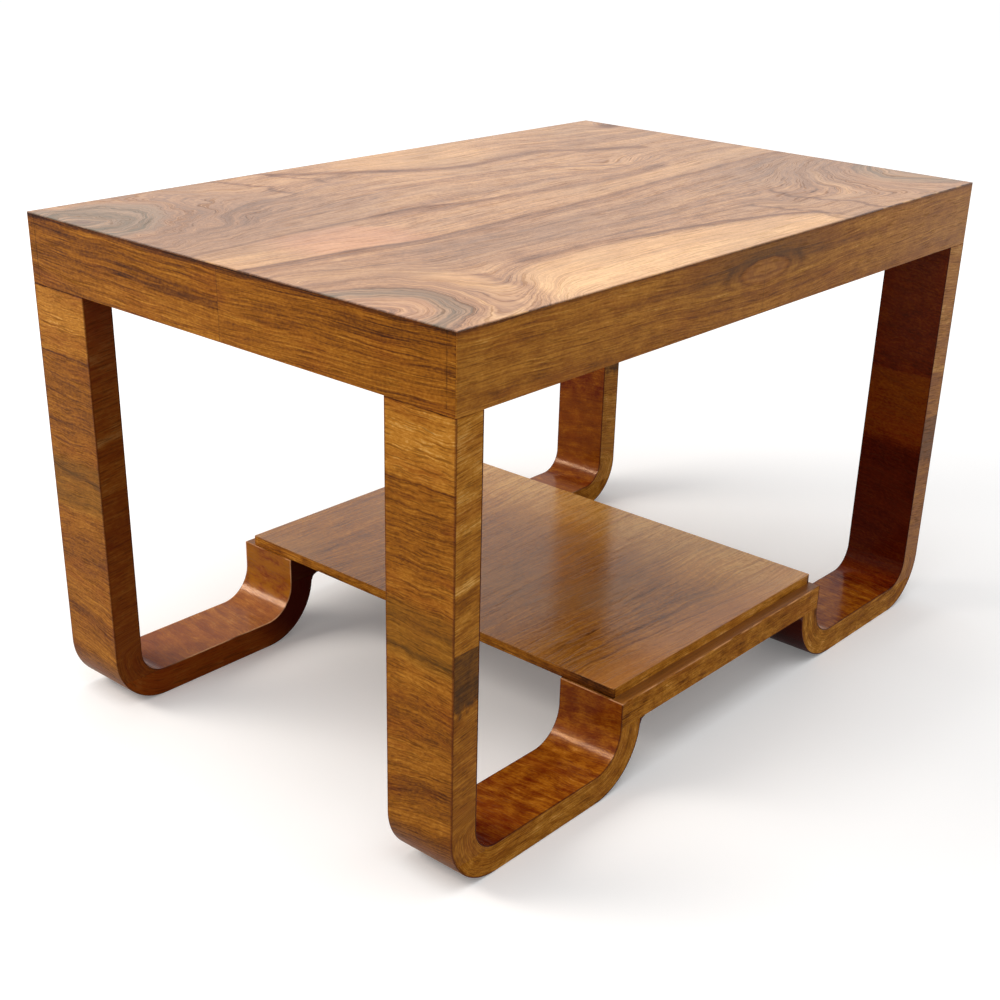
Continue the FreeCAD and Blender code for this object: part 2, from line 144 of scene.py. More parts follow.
# Lengths and widths of the grain's parts that all veneers share.
BAND_LENGTH = 380
HAIR_WIDTH = 1.2
FLECK = (3.4, 1.8)
MOTTLE = (16, 12)
VEIN_LENGTH = 260
VEIN_BREAK = (90, 30)
PORE_WIDTH = 1.1
BLUSH = (70, 28)
LINE_FADE = 12
NOISE_GAIN = 2.5
HAZE_DULLNESS = 0.4

# Heart of the timber that the hidden parts are sawn from, across the grain.
PITH = (-31, 57)

# Floor: half its side in metres, and where it fades to white, in millimetres from the middle.
# It lights the table by its shade, and looks paler than that.
FLOOR_HALF = 12
FLOOR_FADE = (700, 2400)
FLOOR_SHADE = (0.34, 0.32, 0.3, 1)
FLOOR_SEEN = (0.93, 0.93, 0.93, 1)

# Lamps: strength of the surroundings, the slant of the lamps at the back left, and their colours.
WORLD_STRENGTH = 0.63
LAMP_SLANT = (0.08, 0.9, -0.42)
WARM = (1, 0.92, 0.84)
WARMER = (1, 0.88, 0.76)

# Camera: place in metres, turn in degrees, lens and sensor in millimetres, shift in frame widths.
CAMERA_PLACE = (-1.1629, -0.9596, 0.7857)
CAMERA_TURN = (64.615, -1.654, -49.399)
LENS = 55.334
SENSOR = 36
FRAME_SHIFT = (-0.02, 0.08)


def screen(colour):
    """Linear colour from a screen colour in bytes."""
    shares = [value / 255 for value in colour]
    linear = [share / 12.92 if share <= 0.04045 else ((share + 0.055) / 1.055) ** 2.4
              for share in shares]
    return (*linear, 1)


def feed(tree, socket, value):
    """Links a field to a socket, or sets the socket to a plain value."""
    if isinstance(value, Field):
        tree.links.new(value.socket, socket)
    else:
        socket.default_value = value


class Field:
    """A value that varies over a surface. Arithmetic on it adds nodes to its material."""

    def __init__(self, tree, socket):
        self.tree = tree
        self.socket = socket

    def math(self, operation, *others):
        """Result of an operation on this field and other fields or numbers."""
        step = self.tree.nodes.new("ShaderNodeMath")
        step.operation = operation
        for socket, value in zip(step.inputs, (self, *others)):
            feed(self.tree, socket, value)
        return Field(self.tree, step.outputs[0])

    def __add__(self, other):
        return self.math("ADD", other)

    def __sub__(self, other):
        return self.math("SUBTRACT", other)

    def __mul__(self, other):
        return self.math("MULTIPLY", other)

    def __truediv__(self, other):
        return self.math("DIVIDE", other)

    def __neg__(self):
        return self.math("MULTIPLY", -1)

    def __abs__(self):
        return self.math("ABSOLUTE")

    __radd__ = __add__

    def __rsub__(self, other):
        return -self + other

    def least(self, other):
        return self.math("MINIMUM", other)

    def most(self, other):
        return self.math("MAXIMUM", other)

    def squared(self):
        return self * self

    def root(self):
        return self.math("SQRT")

    def sign(self):
        return self.math("SIGN")

    def rise(self, low, high):
        """Smooth step from 0 at low to 1 at high."""
        step = self.tree.nodes.new("ShaderNodeMapRange")
        step.interpolation_type = "SMOOTHSTEP"
        for name, value in {"Value": self, "From Min": low, "From Max": high}.items():
            feed(self.tree, step.inputs[name], value)
        return Field(self.tree, step.outputs["Result"])

    def bell(self, width):
        """Bell curve of height 1 around zero."""
        return (-(self / width).squared()).math("EXPONENT")

    def within(self, low, high, fade):
        """1 between low and high, fading to 0 outside."""
        return self.rise(low - fade, low) * self.rise(high + fade, high)


def oval_squared(x, y, centre, spread):
    """Square of the distance from a centre, 1 on the oval with the given half axes."""
    return ((x - centre[0]) / spread[0]).squared() + ((y - centre[1]) / spread[1]).squared()


def oval(x, y, centre, spread):
    """Distance from a centre, 1 on the oval with the given half axes."""
    return oval_squared(x, y, centre, spread).root()


def hill(x, y, centre, spread):
    """Round hill of height 1."""
    return (-oval_squared(x, y, centre, spread)).math("EXPONENT")


def hills(x, y, table):
    """Sum of round hills, each given by its centre, spread and height."""
    return sum(hill(x, y, centre, spread) * height for centre, spread, height in table)


class Paint:
    """One material being made, with the surface's place in millimetres."""

    def __init__(self, name):
        self.material = bpy.data.materials.new(name)
        self.material.use_nodes = True
        self.tree = self.material.node_tree
        self.tree.nodes.clear()
        place = self.node("ShaderNodeTexCoord", {}, "Object")
        parts = self.node("ShaderNodeSeparateXYZ", {"Vector": place}).node.outputs
        self.x, self.y, self.z = (Field(self.tree, part) * MILLIMETRES for part in parts)

    def node(self, kind, inputs, output=0):
        """Adds a node and gives one of its outputs as a field."""
        made = self.tree.nodes.new(kind)
        for name, value in inputs.items():
            feed(self.tree, made.inputs[name], value)
        field = Field(self.tree, made.outputs[output])
        field.node = made
        return field

    def noise(self, *place, detail=2):
        """Smooth noise around 0, mostly within a half either way; each coordinate is in ripples."""
        vector = self.node("ShaderNodeCombineXYZ", dict(zip("XYZ", place)))
        cloud = self.node("ShaderNodeTexNoise", {"Vector": vector, "Scale": 1, "Detail": detail})
        return (cloud - 0.5) * NOISE_GAIN

    def curve(self, field, points):
        """Smooth curve through a few points, level beyond its ends."""
        places, heights = zip(*points)
        first, length = places[0], places[-1] - places[0]
        low, height = min(heights), max(heights) - min(heights)
        spans = [((place - first) / length, (level - low) / height) for place, level in points]
        made = self.node("ShaderNodeFloatCurve", {"Value": (field - first) / length})
        mapping = made.node.mapping
        mapping.extend = "HORIZONTAL"
        bends = mapping.curves[0].points
        bends[0].location = spans[0]
        bends[1].location = spans[-1]
        for span in spans[1:-1]:
            bends.new(*span)
        mapping.update()
        return made * height + low

    def line(self, along, across, points, width):
        """Line of the given width that follows a few points and fades out past its ends."""
        first, last = points[0][0], points[-1][0]
        off_line = across - self.curve(along, points)
        return off_line.bell(width) * along.within(first, last, LINE_FADE)

    def lines(self, along, across, table):
        """Sum of lines, each given by its points, width and strength."""
        return sum(self.line(along, across, points, width) * strength
                   for points, width, strength in table)

    def ramp(self, field, palette):
        """Colour from a palette whose colours are at even steps from 0 to 1."""
        made = self.node("ShaderNodeValToRGB", {"Fac": field}, "Color")
        elements = made.node.color_ramp.elements
        elements[0].color = screen(palette[0])
        elements[1].color = screen(palette[-1])
        for step, colour in enumerate(palette[1:-1], start=1):
            elements.new(step / (len(palette) - 1)).color = screen(colour)
        return made

    def mix(self, first, second, share):
        """Colour between two colours."""
        made = self.tree.nodes.new("ShaderNodeMix")
        made.data_type = "RGBA"
        for number, value in {0: share, 6: first, 7: second}.items():
            feed(self.tree, made.inputs[number], value)
        return Field(self.tree, made.outputs[2])

    def surface(self, shader):
        """Finished material with the given shader."""
        output = self.tree.nodes.new("ShaderNodeOutputMaterial")
        self.tree.links.new(shader.socket, output.inputs["Surface"])
        return self.material

    def polish(self, colour, dullness, relief, depth, shine, lacquer=WHITE, haze=0):
        """Lacquered surface with a fine relief, in millimetres, and a haze on its highlights."""
        normal = self.node("ShaderNodeBump", {
            "Height": relief,
            "Strength": 1,
            "Distance": depth / MILLIMETRES,
        })
        shader = self.node("ShaderNodeBsdfPrincipled", {
            "Base Color": colour,
            "Roughness": dullness,
            "Specular IOR Level": shine,
            "Specular Tint": lacquer,
            "Coat Weight": haze,
            "Coat Roughness": HAZE_DULLNESS,
            "Normal": normal,
        })
        return self.surface(shader)

    def wood(self, along, across, seed, tone, look, stains=()):
        """Veneer: streaks, veins and pores along the grain, over a tone from 0, dark, to 1, light.

        Each stain is a screen colour with the share of it that shows.
        """
        look = {**PLAIN_LOOK, **look}
        band = self.noise(along / BAND_LENGTH, across / look["band"], seed)
        streak = self.noise(along / look["reach"], across / look["streak"], seed, detail=3)
        hair = self.noise(along / look["hair"], across / HAIR_WIDTH, seed)
        fleck = self.noise(along / FLECK[0], across / FLECK[1], seed + 3, detail=1)
        mottle = self.noise(along / MOTTLE[0], across / MOTTLE[1], seed, detail=3)
        vein = self.noise(along / VEIN_LENGTH, across / look["vein"], seed + 4).bell(0.04)
        unbroken = self.noise(along / VEIN_BREAK[0], across / VEIN_BREAK[1], seed + 7)
        vein = vein * unbroken.rise(-0.15, 0.35)
        pore = self.noise(along / look["pore"], across / PORE_WIDTH, seed + 5, detail=0)
        pore = pore.rise(0.25, 0.5)
        blush = self.noise(along / BLUSH[0], across / BLUSH[1], seed + 11, detail=3)
        blush = blush.rise(-0.1, 0.5)
        tone = tone + band * look["bands"] + streak * look["streaks"] + hair * look["hairs"]
        tone = tone + mottle * look["mottles"] + fleck * look["flecks"] - vein * look["veins"]
        colour = self.ramp(tone, look["palette"])
        layers = [(look["blush"], blush * look["blushes"]), *stains, (PORE, pore * look["pores"])]
        for stain, share in layers:
            colour = self.mix(colour, screen(stain), share)
        dullness = look["dullness"] + streak * 0.06 + pore * 0.15
        relief = hair * 0.5 - pore
        finish = (look[name] for name in ("depth", "shine", "lacquer", "haze"))
        return self.polish(colour, dullness, relief, *finish)


def bend_across(paint):
    """Distance from the inner skin of a leg, foot and riser into the wood."""
    x = abs(paint.x)
    depths = []
    for (middle, level, radius), side in ((LEG_FOLD, 1), (RISER_FOLD, -1)):
        out = ((x - middle) * side).most(0)
        down = (level - paint.z).most(0)
        depths.append((out.squared() + down.squared()).root() - radius)
    return depths[0].most(depths[1])


def bend_along(paint):
    """Way along the inner skin, from the riser's foot out over the foot and up the leg."""
    x = abs(paint.x)
    leg_side = (x - FOOT_MIDDLE).sign()
    return x - RISER_FRONT + (paint.z - FOOT_TOP) * leg_side


def corner_seed(paint):
    """Number that differs between the four corners of the table."""
    return paint.x.sign() * 3.7 + paint.y.sign() * 8.3


def inside_share(paint):
    """1 on the skins that face the middle of the table's depth, 0 on the outer ones."""
    return abs(paint.y).rise(SKIN_INSIDE + 5, SKIN_INSIDE)


def left_share(paint):
    """1 on the left half of the table, 0 on the right."""
    return paint.x.rise(100, -100)


def back_share(paint):
    """1 on the back half of the table, 0 on the front."""
    return paint.y.rise(-10, 10)


def leg_rim(paint):
    """Distance from the nearer side of a leg's width."""
    y = abs(paint.y)
    return (HALF_DEPTH - y).least(y - LEG_INSIDE)


def make_top_veneer():
    """Sheet with burr eyes at its ends, and pale wood in a strip and at both long edges."""
    paint = Paint("figured_walnut_top")
    x, y = paint.x, paint.y

    # Lines of the figure, by points along and across the top.
    upper = [(-400, 31), (-290, 36), (-183, 38), (-90, 24), (0, 12), (110, 6), (220, 14)]
    lower = [(-400, -28), (-290, -41), (-170, -54), (0, -51), (114, -40), (260, -30), (400, -22)]
    front = [
        (-335, -264), (-285, -236), (-212, -162), (-46, -172),
        (57, -192), (125, -213), (150, -244), (160, -264),
    ]
    back = [
        (-160, 268), (-126, 243), (-34, 190), (11, 165), (74, 150),
        (131, 157), (183, 154), (229, 130), (300, 98),
    ]
    fold = [(-240, 150), (-120, 130), (0, 116), (90, 104), (150, 74), (190, 40)]
    split = [(-60, -172), (30, -182), (110, -205), (140, -222)]
    pink_edge = [
        (-400, 31), (-290, 36), (-246, 34), (-216, 15), (-180, 7),
        (-90, 4), (0, 10), (110, 6), (400, 30),
    ]
    followed = (lower, front, back, pink_edge)
    middle, fore, rear, pink = (paint.curve(x, points) for points in followed)

    # Grain that follows those lines.
    sway = paint.noise(x / 230, y / 80, 1.3) * 9 + paint.noise(x / 46, y / 12, 4.1) * 2.4
    flow = y + sway
    figure = flow - (middle + 42) * (y + 45).bell(75)
    figure = figure - (rear - 150) * (y - 170).bell(90) * x.rise(-220, 0) * 0.5
    figure = figure - (fore + 190) * (y + 195).bell(50) * x.rise(-330, -200) * 0.4
    figure = figure + hills(x, flow, [((186, 50), (60, 30), 34), ((404, 214), (36, 24), 50)])

    # Eyes: centre, half axes, pitch of the grain round them and strength of its warp.
    eyes = {
        "front": ((-405, -186), (59, 53), 56, 1),
        "back": ((-388, 190), (68, 52), -58, 2.2),
        "far": ((416, -186), (76, 58), 60, 1),
    }
    warp = paint.noise(x / 50, y / 40, 5.9, detail=3) * 0.2
    rings = {}
    for name, (centre, spread, pitch, warped) in eyes.items():
        rings[name] = oval(x, y, centre, spread) + warp * warped
        round_grain = (rings[name] - 1.8) * pitch + centre[1]
        figure = figure + (round_grain - figure) * rings[name].rise(3, 1.2)
    ringed = rings["front"].rise(1.3, 1.1) + rings["back"].rise(1.3, 1)
    ringed = (ringed + rings["far"].within(0.6, 1.15, 0.2) * 0.8).least(1)
    nearest = rings["front"].least(rings["back"]).least(rings["far"])
    ring_lines = paint.noise(nearest * 14, x / 90, 8.8, detail=3)
    burr = rings["front"].within(0.86, 1.08, 0.2) + rings["back"].within(0.3, 1.08, 0.3)
    burr = (burr + rings["far"].rise(1.2, 0.9) * 0.8).least(1)
    knot = rings["front"].rise(1.8, 1.2) * 0.11 + rings["back"].rise(1.5, 0.7) * 0.12

    # Pale wood.
    strip = (flow - middle).rise(-1, 7) * (flow - pink).rise(4, -10)
    strip_fill = paint.curve(x, [
        (-400, 0.5), (-300, 0.3), (-150, 0.2), (60, 0.45), (300, 0.35), (400, 0.5),
    ])
    fore_pale = (flow - fore).rise(4, -26) * x.within(-240, 120, 80)
    rear_pale = (flow - rear).rise(0, 30) * x.within(0, 110, 90)
    beside_eye = y.within(-200, -150, 30)
    crescent = rings["front"].within(1.84, 2, 0.24) * x.rise(-350, -310) * beside_eye
    pale = strip * strip_fill + fore_pale + rear_pale * 0.6 + crescent * 0.7

    # Dark lines, spots and cracks.
    dark = paint.lines(x, flow, [
        (upper[:4], 2.6, 0.7), (upper[2:], 8, 0.4), (lower, 4.2, 0.5), (front[2:7], 5, 0.55),
        (back[1:], 8, 0.75), (split, 1.8, 0.6), (fold, 5, 0.3),
    ])
    dark = dark + paint.line(x, flow + 9, lower, 8) * 0.3
    dark = dark + (rings["front"] - 2.3).bell(0.1) * x.rise(-330, -290) * beside_eye * 0.2
    dark = dark + hills(x, flow, [((-196, -152), (26, 14), 0.4), ((-150, 26), (60, 12), 0.3)])
    dark = dark + hill(x, y, (388, 214), (17, 11)) * 1.5
    jag = paint.noise(y / 13, 0.5, 2.2, detail=3) * 14
    wander = paint.noise(y / 60, 7.5, 1.2) * 16
    dark = dark + paint.lines(y, x + jag + wander, [
        ([(-262, 226), (-214, 206), (-140, 190)], 4, 0.8),
        ([(-262, 150), (-220, 138), (-170, 128)], 4, 0.64),
        ([(170, -176), (226, -184), (262, -202)], 4, 0.8),
        ([(186, -112), (220, -124), (262, -136)], 4, 0.64),
    ])

    # Grey clouds and the worn rim.
    grey = hills(x, flow, [
        ((-250, 110), (140, 62), 1), ((-140, -108), (230, 42), 0.8),
        ((310, -90), (120, 62), 1.3), ((-320, 150), (110, 100), 1.8),
    ])
    clouds = paint.noise(x / 130, y / 70, 9.1).rise(-0.2, 0.5) * 0.6 + grey
    rim = (HALF_LENGTH - abs(x)).least(HALF_DEPTH - abs(y))
    arris = rim.rise(2.4, 0.8)
    worn = arris * paint.noise(x / 30, y / 30, 6.2, detail=3).rise(0.15, 0.4)

    tone = 0.57 + pale * 0.17 - dark * 0.38 - arris * 0.25 - burr * 0.12 - grey * 0.07 - knot
    tone = tone + ring_lines * ringed * 0.4
    veins = paint.noise(x / 60, figure / 5, 5.5)
    stains = [
        (SAP, pale.least(1) * 0.3),
        (PINK_SAP, strip * x.within(-300, -230, 50) * 0.3),
        (LINE_BROWN, dark.least(1) * 0.45),
        (CLOUD_GREY, clouds.least(1) * 0.36),
        (EYE_PINK, rings["front"].rise(0.9, 0.6) * 0.2),
        (EYE_GREY, burr * 0.4),
        (GREY_GREEN, burr * (veins - ring_lines).rise(-0.3, 0.5) * 0.6),
        (TOP_WORN, worn * 0.7),
    ]
    look = {
        "palette": TOP_WALNUT, "dullness": 0.33, "shine": 0.16, "lacquer": WHITE,
        "band": 18, "bands": 0.2, "streak": 2.6, "reach": 260, "streaks": 0.2, "hair": 60,
        "mottles": 0.12, "vein": 10, "veins": 0.12, "pore": 40, "pores": 0.2, "blushes": 0,
    }
    return paint.wood(x, figure, 2.7, tone, look, stains)


def make_long_apron_veneer():
    """Two mirrored leaves with half an eye each at the joint in the middle."""
    paint = Paint("walnut_long_apron")
    x, z = abs(paint.x), paint.z
    seed = paint.y.sign() * 5.3
    eye = (0, 459)
    flow = z + paint.noise(x / 150, z / 40, seed) * 5 - x * 0.03
    lens = oval(x, z, eye, (40, 11))
    figure = flow - (z - eye[1]) * hill(x, z, eye, (70, 22)) * 0.45
    smoke = hill(x, z, (0, 470), (110, 18))
    rings = (lens - 1).bell(0.1) + (lens - 1.5).bell(0.13) * 0.6 + (lens - 0.55).bell(0.08) * 0.5
    tone = 0.59 - smoke * 0.14 + lens.rise(1, 0.6) * 0.04 - rings * 0.17
    # Lighter towards the right end: the veneer's own variation and a painted sheen.
    tone = tone - (HEIGHT - 1.6 - z).bell(1.4) * 0.25 + paint.x.rise(100, 400) * 0.06
    stains = [
        (SMOKE, smoke * lens.rise(0.9, 1.1) * 0.45),
        (EYE_BROWN, lens.rise(1, 0.7) * 0.3),
        # Paler and greyer towards the right end: the veneer's own variation and a painted sheen.
        (APRON_PALENESS_AND_SHEEN, paint.x.rise(150, 400) * 0.3),
        (SEAM, x.bell(0.35) * 0.4),
    ]
    look = {
        "dullness": 0.34, "shine": 0.09, "band": 18, "bands": 0.22, "reach": 110, "streaks": 0.2,
        "hair": 44, "hairs": 0.19, "flecks": 0.12, "mottles": 0.14, "pores": 0.3,
    }
    return paint.wood(x, figure, seed, tone, look, stains)


def make_end_apron_veneer():
    """Two leaves of streaky wood, joined at mid depth, and a narrow strip at each corner."""
    paint = Paint("walnut_end_apron")
    y, z = abs(paint.y), paint.z
    seed = paint.x.sign() * 2.9 + paint.y.sign() * 0.2
    flow = z + paint.noise(y / 120, z / 30, seed) * 5 - y * 0.03
    tone = 0.47 + (z - 440).rise(10, -16) * 0.05 - (HEIGHT - 2 - z).bell(2.2) * 0.3
    tone = tone - paint.y.rise(60, 240) * 0.07
    broken = paint.noise(z / 6, y / 40, seed).rise(-0.5, 0.2)
    seams = paint.y.bell(0.4) + (y - STRIP_EDGE).bell(0.6) * broken
    seams = seams + (HALF_DEPTH - y).rise(1.6, 0.5)
    look = {
        "band": 14, "bands": 0.18, "reach": 120, "streaks": 0.24,
        "hair": 44, "vein": 7, "veins": 0.28, "pore": 30,
    }
    return paint.wood(y, flow, seed, tone, look, [(SEAM, seams.least(1) * 0.55)])


def make_leg_veneer():
    """Cross-grained skin of a leg's outer face, pale at its head, with dark bands halfway down."""
    paint = Paint("walnut_leg")
    y, z = abs(paint.y), paint.z
    down = z + abs(paint.x) - HALF_LENGTH
    seed = paint.x.sign() * 4.4 + paint.y.sign() * 0.12
    back = back_share(paint)
    curl = paint.noise(y / 22, down / 10, seed + 2) * 1.8
    flow = down + paint.noise(y / 60, down / 70, seed) * 4 + curl
    flow = flow - (y - LEG_MIDDLE) * down.rise(160, 90) * 0.2
    slant = flow - (y - LEG_MIDDLE) * back * 0.13
    level = paint.curve(flow, [
        (-55, 0.4), (20, 0.44), (44, 0.4), (60, 0.54), (92, 0.4), (104, 0.55), (126, 0.55),
        (160, 0.44), (186, 0.53), (206, 0.54), (217, 0.4), (232, 0.52), (246, 0.42), (262, 0.5),
        (310, 0.45), (356, 0.45), (361, 0.62), (372, 0.66), (402, 0.69), (420, 0.62),
    ])
    edge = (flow - 358).bell(0.9) * 0.9 + (slant - 242).bell(2.6) * (0.6 + back * 0.5)
    edge = edge + (flow - 216).bell(2) * (0.7 - back * 0.6) - (flow - 217).bell(7) * back * 0.4
    tone = level + 0.025 - edge * 0.26 - (APRON_FOOT - z).bell(0.9) * 0.55
    tone = tone - back * 0.05 - flow.rise(200, 120) * (0.08 - back * 0.07)
    tone = tone - flow.rise(350, 380) * 0.02
    stains = [
        (LEG_GREEN, flow.within(212, 250, 12) * 0.3),
        (LEG_ARRIS, leg_rim(paint).rise(2, 0.6) * 0.6),
    ]
    look = {"bands": 0.1, "streaks": 0.13, "vein": 7, "veins": 0.14, "blushes": 0.22}
    return paint.wood(y, flow, seed, tone, look, stains)


def make_inner_veneer():
    """Glossy red-brown skin inside a leg, over its foot and up the riser, with the grain across.
    Its dark stretch over the bend and the lower leg is partly painted shade and dark reflection,
    and the back feet carry a painted reflection.
    """
    paint = Paint("walnut_inner")
    y = paint.y
    way = bend_along(paint)
    seed = corner_seed(paint)
    back = back_share(paint)
    flow = way + paint.noise(y / 60, way / 50, seed) * 7 + abs(y) * 0.1
    # The dip over the leg's bend and lower inside, way 176 to 350, is partly painted shade and dark
    # reflection.
    level = paint.curve(way, [
        (-62, 0.57), (-20, 0.57), (20, 0.6), (90, 0.57), (140, 0.48), (176, 0.3), (196, 0.28),
        (300, 0.2), (350, 0.2), (366, 0.34), (400, 0.41), (443, 0.4), (447, 0.22), (490, 0.25),
        (590, 0.28),
    ])
    rear = back * (way.rise(120, 220) * 0.17 + 0.05)
    foot = way.within(10, 150, 30)
    calm = way.rise(150, 210) * (1 - back)
    figure = paint.noise(y / 50, flow / 9, seed + 2, detail=3) * 0.24
    tone = level + rear + figure * foot - (way - 445).bell(0.8) * 0.06

    # Pale lines on the riser's top arris and the back legs' side arrises: wear and painted glints.
    lip = (way + 62.5).rise(1.2, 0.3) * paint.noise(y / 20, 1.7, seed).rise(-0.3, 0.2)
    side = leg_rim(paint).rise(1.6, 0.5)
    worn = side * back * way.rise(170, 130) * paint.noise(way / 40, 3.3, seed).rise(-0.4, 0.1)
    gold = paint.noise(y / 16, way / 11, seed + 6, detail=4).rise(-0.35, 0.35)
    stains = [
        (INNER_GOLD, back * way.rise(6, -12) * gold * 0.8),
        (INNER_OLIVE, back * way.within(215, 290, 40) * 0.25),
        # Near black on the front legs' lower inside: painted shade and dark reflection.
        (INNER_SHADE_AND_REFLECTION, way.within(210, 345, 25) * (1 - back) * 0.5),
        # Pale pink over the back feet: a painted reflection of the bright surroundings.
        (INNER_PAINTED_VEIL, back * foot * 0.3),
        (INNER_ARRIS, side * 0.6),
        (WORN_AND_GLINT, (lip + worn).least(1) * 0.7),
    ]
    look = {
        "palette": RED_WALNUT, "dullness": 0.15, "shine": 0.07, "lacquer": (1, 0.68, 0.42, 1),
        "haze": 0.035, "depth": 0.02, "streak": 3, "reach": 50, "pores": 0.2,
        "bands": 0.14 - calm * 0.08, "streaks": 0.14 - calm * 0.08, "hairs": 0.16 - calm * 0.07,
        "mottles": 0.34 - calm * 0.26, "veins": 0.12 - calm * 0.06,
        "blush": (128, 46, 9), "blushes": 0.35,
    }
    return paint.wood(y, flow, seed, tone, look, stains)


def make_leg_edge_veneer():
    """Edge of a leg: slanting grain, a dark patch below the joint, then grain round the bend. Its
    inner sides carry painted shade on the left legs and painted light on the right ones, and the
    right legs' outer sides a painted sheen.
    """
    paint = Paint("walnut_leg_edge")
    x, z = abs(paint.x), paint.z
    inward = HALF_LENGTH - x
    seed = corner_seed(paint)
    inside, left = inside_share(paint), left_share(paint)
    slope = z - inward * 0.14
    upper = z.rise(50, 90)
    across = slope * upper + bend_across(paint) * (1 - upper) * 1.2
    along = x * upper + bend_along(paint) * (1 - upper)
    jag = paint.noise(x / 6, z / 14, seed, detail=3) * 14
    patch = z.rise(LEG_JOINT + 0.4, LEG_JOINT - 0.4) * (z - inward * 0.3 + jag).rise(166, 178)
    patch = patch * (1 - inside * left * 0.7)
    spots = paint.noise(x / 5, z / 7, seed + 1, detail=3)
    level = paint.curve(slope, [
        (28, 0.5), (120, 0.5), (165, 0.5), (226, 0.6), (256, 0.62), (266, 0.46),
        (276, 0.46), (280, 0.8), (285, 0.76), (291, 0.62), (350, 0.67), (420, 0.7),
    ])
    tone = level + 0.03 - patch * (0.23 + spots * 0.2) - (z - LEG_JOINT).bell(0.6) * 0.2
    # The right legs' inner sides are lightened: painted light.
    tone = tone - (APRON_FOOT - z).bell(0.9) * 0.3 + inside * (1 - left) * 0.15
    stains = [
        (PATCH_BROWN, patch * 0.5),
        # Dark red on the left legs' inner sides, more near the apron: painted shade.
        (EDGE_RED_SHADE, inside * left * (0.72 + z.rise(300, 420) * 0.2)),
        # Pale pink on the right legs' outer sides: painted sheen.
        (EDGE_PAINTED_SHEEN, (1 - left) * (1 - inside) * 0.35),
        (EDGE_ARRIS, inward.rise(2, 0.8) * 0.6),
    ]
    look = {"reach": 40, "hair": 24, "hairs": 0.2, "flecks": 0.12, "mottles": 0.22, "pore": 14}
    return paint.wood(along, across, seed, tone, look, stains)


def make_foot_edge_veneer():
    """Edge of a foot, with the grain along it and round its two bends, and painted shade on the
    left feet's inner sides.
    """
    paint = Paint("walnut_foot_edge")
    across = bend_across(paint)
    along = bend_along(paint)
    seed = corner_seed(paint)
    inside = inside_share(paint)
    # The left feet's inner sides get painted shade, near black towards the riser.
    dark = inside * left_share(paint)
    tone = 0.59 + paint.noise(along / 60, across / 20, seed) * 0.2
    # Pale line on the foot's outer arrises: wear and a painted glint.
    worn = across.rise(1.5, 0.5) * paint.noise(along / 25, 5.2, seed).rise(0, 0.35)
    stains = [
        (FOOT_RED_SHADE, dark * 0.85),
        (FOOT_BLACK_SHADE, dark * along.rise(75, 5) * 0.9),
        (WORN_AND_GLINT, worn * (1 - inside) * 0.6),
    ]
    look = {"shine": 0.02, "reach": 60, "streaks": 0.2, "mottles": 0.28, "pore": 18}
    return paint.wood(along, across * 1.2, seed, tone, look, stains)


def make_rail_edge_veneer():
    """Edge of a shelf rail, with the grain along it, and painted shade on its inner side."""
    paint = Paint("walnut_rail_edge")
    x, z = paint.x, paint.z
    seed = paint.y.sign() * 6.1
    inside = inside_share(paint)
    tone = 0.59 + paint.noise(x / 70, z / 14, seed) * 0.22
    # Pale line along the rail's top arris: wear and a painted glint.
    worn = (RAIL_TOP - z).rise(1.4, 0.5) * paint.noise(x / 40, 5.2, seed).rise(-0.3, 0.3)
    # The inner side is near black: painted shade.
    stains = [(RAIL_BLACK_SHADE, inside * 0.95), (WORN_AND_GLINT, worn * (1 - inside) * 0.7)]
    look = {
        "shine": 0.02, "reach": 60, "streaks": 0.16, "hairs": 0.18,
        "mottles": 0.28, "pore": 16, "blushes": 0.3,
    }
    return paint.wood(x, z, seed, tone, look, stains)


def make_shelf_veneer():
    """Glossy sheet with straight grain, a few peaked lines, a paler front edge and a painted
    reflection that lightens its right part.
    """
    paint = Paint("walnut_shelf")
    x, y = paint.x, paint.y
    flow = y + paint.noise(x / 200, y / 90, 3.3) * 10 + paint.noise(x / 40, y / 12, 8.2) * 2
    figure = flow + hills(x, y, [((170, -215), (170, 40), 26), ((-60, 120), (160, 60), 14)])
    lines = (figure + 186).bell(1.6) + (figure + 203).bell(1.4) + (figure - 96).bell(1.8) * 0.6
    front_edge = y.rise(-185, -240)
    cloud = paint.noise(x / 120, y / 90, 2.1)
    # The right part is much lighter: a painted reflection.
    tone = 0.51 - lines * 0.2 + x.rise(20, 150) * 0.36 + front_edge * x.rise(60, -60) * 0.14
    stains = [(SHELF_GOLD, cloud.rise(-0.2, 0.6) * 0.35), (SHELF_PINK, front_edge * 0.4)]
    look = {
        "dullness": 0.13, "shine": 0.35, "lacquer": (1, 0.96, 0.82, 1), "bands": 0.08,
        "reach": 220, "streaks": 0.18, "hair": 60, "hairs": 0.22,
        "vein": 12, "veins": 0.16, "pore": 40, "pores": 0.22, "blushes": 0,
    }
    return paint.wood(x, figure, 6.6, tone, look, stains)


def make_lipping():
    """Solid edge of the shelf, with the grain along each side, and painted shade on its end sides
    towards the front.
    """
    paint = Paint("walnut_lipping")
    at_end = abs(paint.x).rise(LIPPING_INSIDE - 0.1, LIPPING_INSIDE + 0.1)
    along = paint.y * at_end + paint.x * (1 - at_end)
    tone = 0.65 + paint.noise(along / 80, paint.z / 20, 3.9) * 0.2 - at_end * 0.16
    # The end sides darken towards the front: painted shade.
    tone = tone - at_end * paint.y.rise(-180, -215) * 0.25
    look = {"reach": 60, "mottles": 0.28, "pore": 16}
    return paint.wood(along, paint.z * 1.2, 4.8, tone, look)


